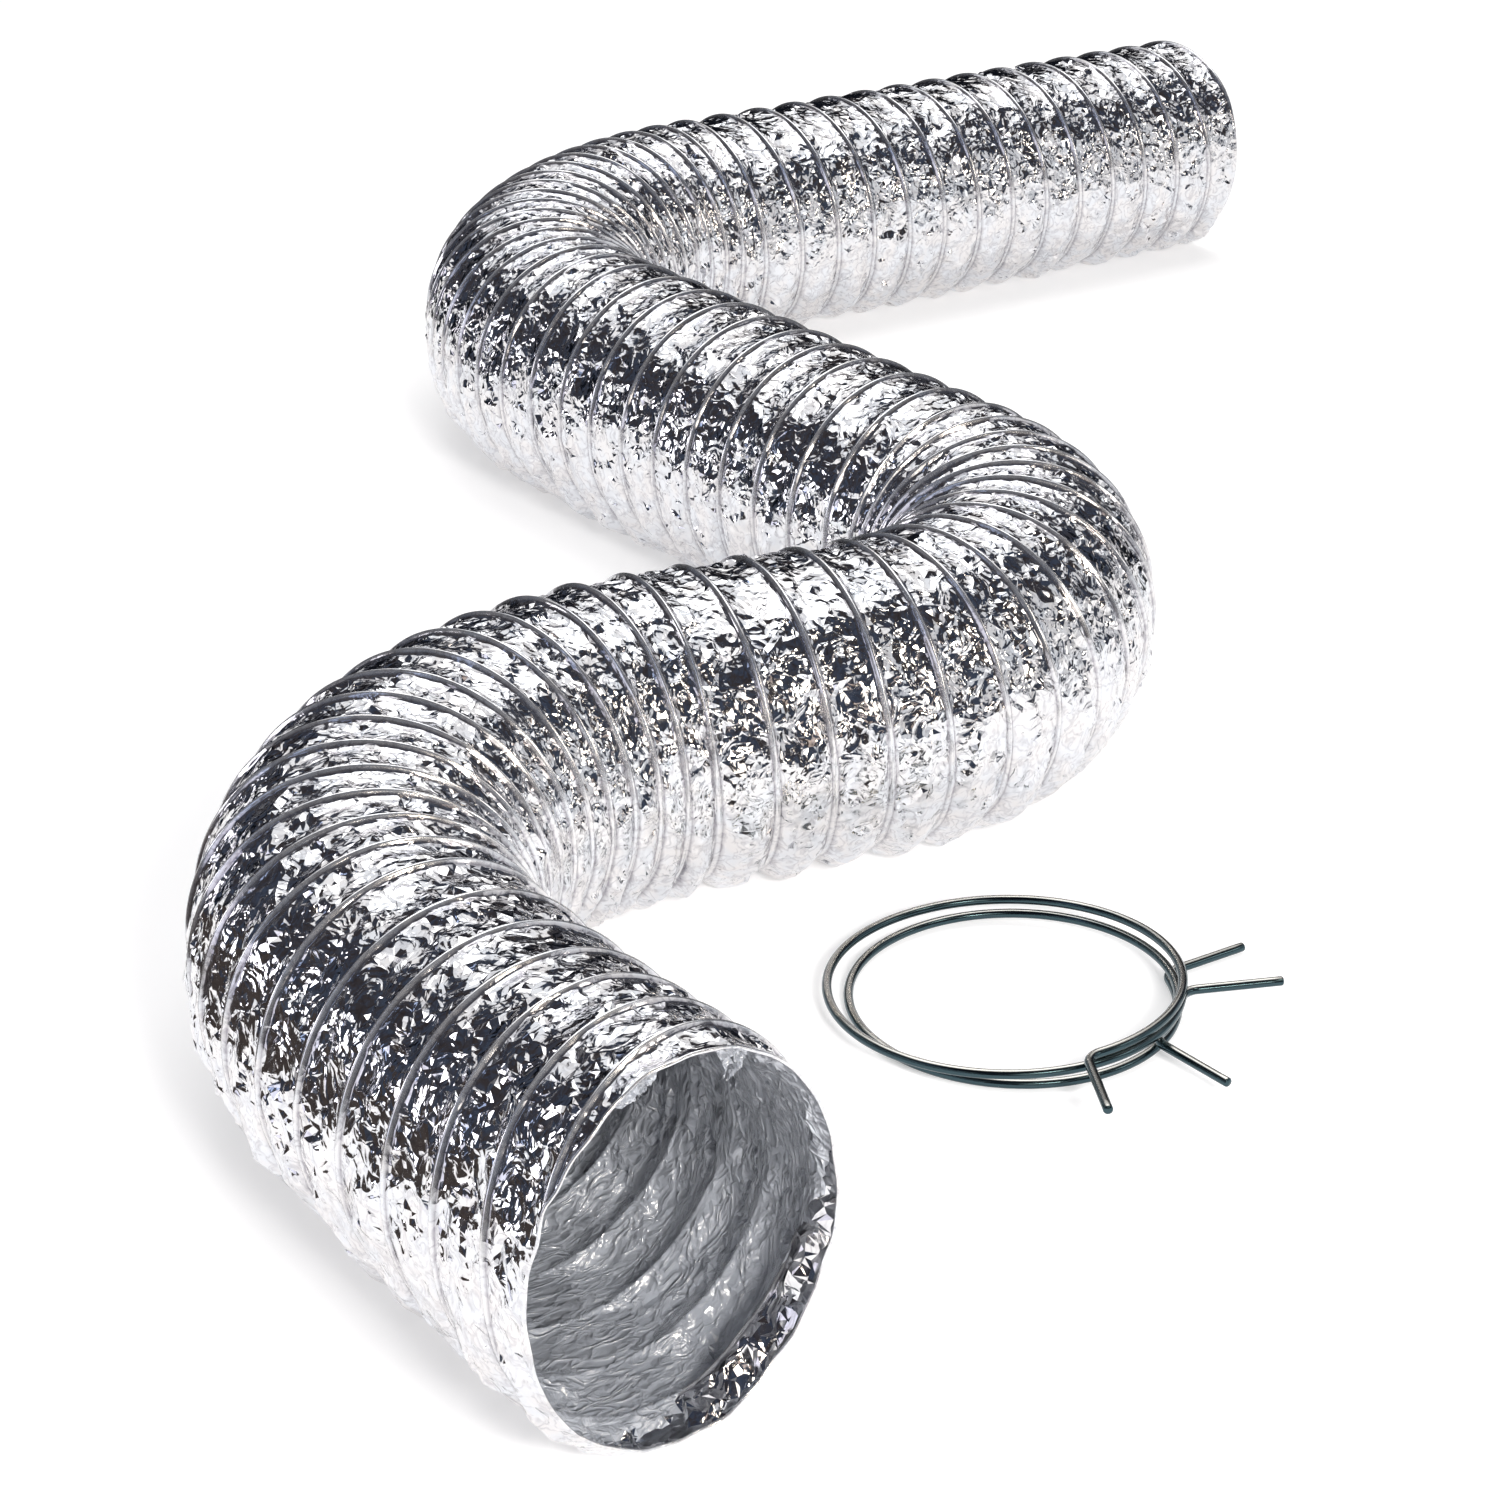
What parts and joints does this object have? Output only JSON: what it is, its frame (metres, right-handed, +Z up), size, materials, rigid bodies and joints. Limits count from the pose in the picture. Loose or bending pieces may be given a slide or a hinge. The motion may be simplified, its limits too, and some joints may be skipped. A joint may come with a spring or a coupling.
{
  "type": "flexible air duct",
  "caption": "Round foil air duct stiffened by a spring wire helix, lying in flat bends, open at both ends, with loose squeeze wire clamps that hold its ends on collars.",
  "frame": {"origin": "centre of the front mouth, on the duct's axis", "axes": "-Y points out of the front mouth, +Z is up from the floor that the duct lies on, and +X is the side that the first bend turns to"},
  "size_m": [0.8489, 0.797, 0.1051],
  "materials": {
    "foil": "crinkled bright foil",
    "clamp_wire": "blackened spring wire"
  },
  "bodies": {
    "second_run": {"second_run": "foil", "front_bend": "foil", "middle_bend": "foil"},
    "front_run": {"front_run": "foil"},
    "third_run": {"third_run": "foil", "back_bend": "foil"},
    "back_run": {"back_run": "foil", "stretch_zone": "foil"},
    "back_end": {"back_end": "foil"},
    "lower_clamp": {"lower_clamp_bow": "clamp_wire", "lower_clamp_far_arm": "clamp_wire"},
    "lower_clamp_near_arm": {"lower_clamp_near_arm": "clamp_wire"},
    "upper_clamp": {"upper_clamp_bow": "clamp_wire", "upper_clamp_far_arm": "clamp_wire"},
    "upper_clamp_near_arm": {"upper_clamp_near_arm": "clamp_wire"}
  },
  "joints": [
    {"name": "front_flex", "type": "hinge", "parent": "second_run", "child": "front_run", "pos_m": [0.06128, 0.22728, 0], "axis": [0, 0, 1], "range_deg": [-40, 15], "deforming": ["front_bend"]},
    {"name": "middle_flex", "type": "hinge", "parent": "second_run", "child": "third_run", "pos_m": [0.30864, 0.28378, 0], "axis": [0, 0, 1], "range_deg": [-40, 15], "deforming": ["middle_bend"]},
    {"name": "back_flex", "type": "hinge", "parent": "third_run", "child": "back_run", "pos_m": [0.38896, 0.6859, 0], "axis": [0, 0, 1], "range_deg": [-15, 40], "deforming": ["back_bend"]},
    {"name": "back_stretch", "type": "slide", "parent": "back_run", "child": "back_end", "axis": [0.9997, -0.0227, 0], "range_m": [-0.09, 0.018], "deforming": ["stretch_zone"]},
    {"name": "lower_clamp_lift", "type": "slide", "parent": "second_run", "child": "lower_clamp", "axis": [0, 0, 1], "range_m": [0, 0.08]},
    {"name": "lower_clamp_squeeze", "type": "hinge", "parent": "lower_clamp", "child": "lower_clamp_near_arm", "pos_m": [0.16955, 0.1628, -0.05116], "axis": [0, 0, -1], "range_deg": [0, 15], "stiffness_Nm_per_rad": 2, "deforming": ["lower_clamp_bow"]},
    {"name": "upper_clamp_lift", "type": "slide", "parent": "lower_clamp", "child": "upper_clamp", "axis": [0, 0, 1], "range_m": [0, 0.08]},
    {"name": "upper_clamp_squeeze", "type": "hinge", "parent": "upper_clamp", "child": "upper_clamp_near_arm", "pos_m": [0.18607, 0.18058, -0.04756], "axis": [0, 0, -1], "range_deg": [0, 18], "stiffness_Nm_per_rad": 2, "deforming": ["upper_clamp_bow"]}
  ]
}
